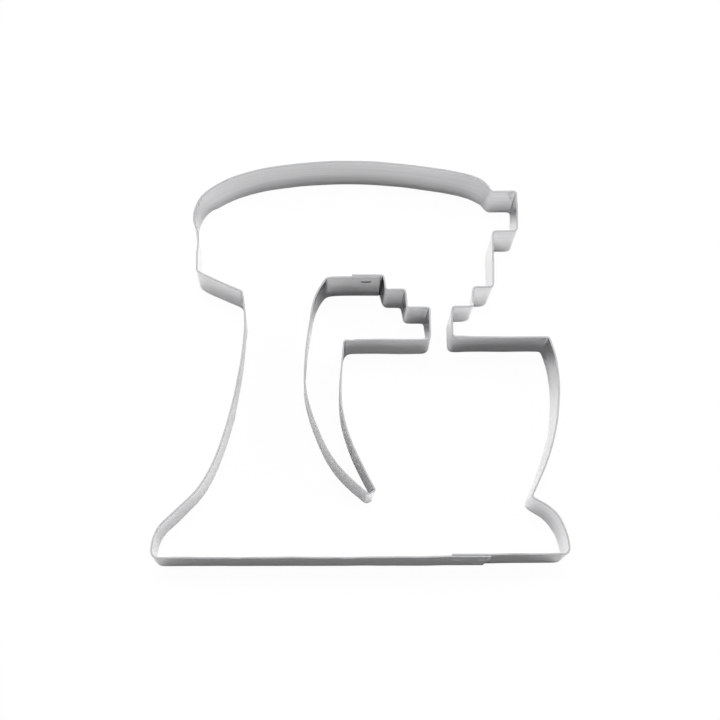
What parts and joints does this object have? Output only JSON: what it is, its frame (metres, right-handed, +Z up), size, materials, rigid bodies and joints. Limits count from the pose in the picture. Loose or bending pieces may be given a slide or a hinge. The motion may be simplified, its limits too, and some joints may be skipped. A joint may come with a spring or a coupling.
{
  "type": "cookie cutter",
  "caption": "Mixer-shaped cookie cutter of thin bent steel strip: an outer outline and a loose inner cutter for the gap behind the bowl, each closed by a lapped, spot-welded seam.",
  "frame": {"origin": "under the middle of the set, on the surface that the cutting edges stand on", "axes": "+X along the base towards the outline's front, +Y from the base to the head, +Z up the strip from the cutting edge"},
  "size_m": [0.1, 0.097, 0.022],
  "materials": {
    "strip_steel": "bright rolled strip with fine marks along its length",
    "weld_steel": "dull, pressed in by the welding tips"
  },
  "bodies": {
    "outer_cutter": {"outer_band": "strip_steel", "outer_spot_weld_left": "weld_steel", "outer_spot_weld_middle": "weld_steel", "outer_spot_weld_right": "weld_steel"},
    "inner_cutter": {"inner_band": "strip_steel", "inner_spot_weld_upper": "weld_steel", "inner_spot_weld_lower": "weld_steel"}
  },
  "joints": [
    {"name": "inner_cutter_lift", "type": "slide", "parent": "outer_cutter", "child": "inner_cutter", "axis": [0, 0, 1], "range_m": [0, 0.04]}
  ]
}
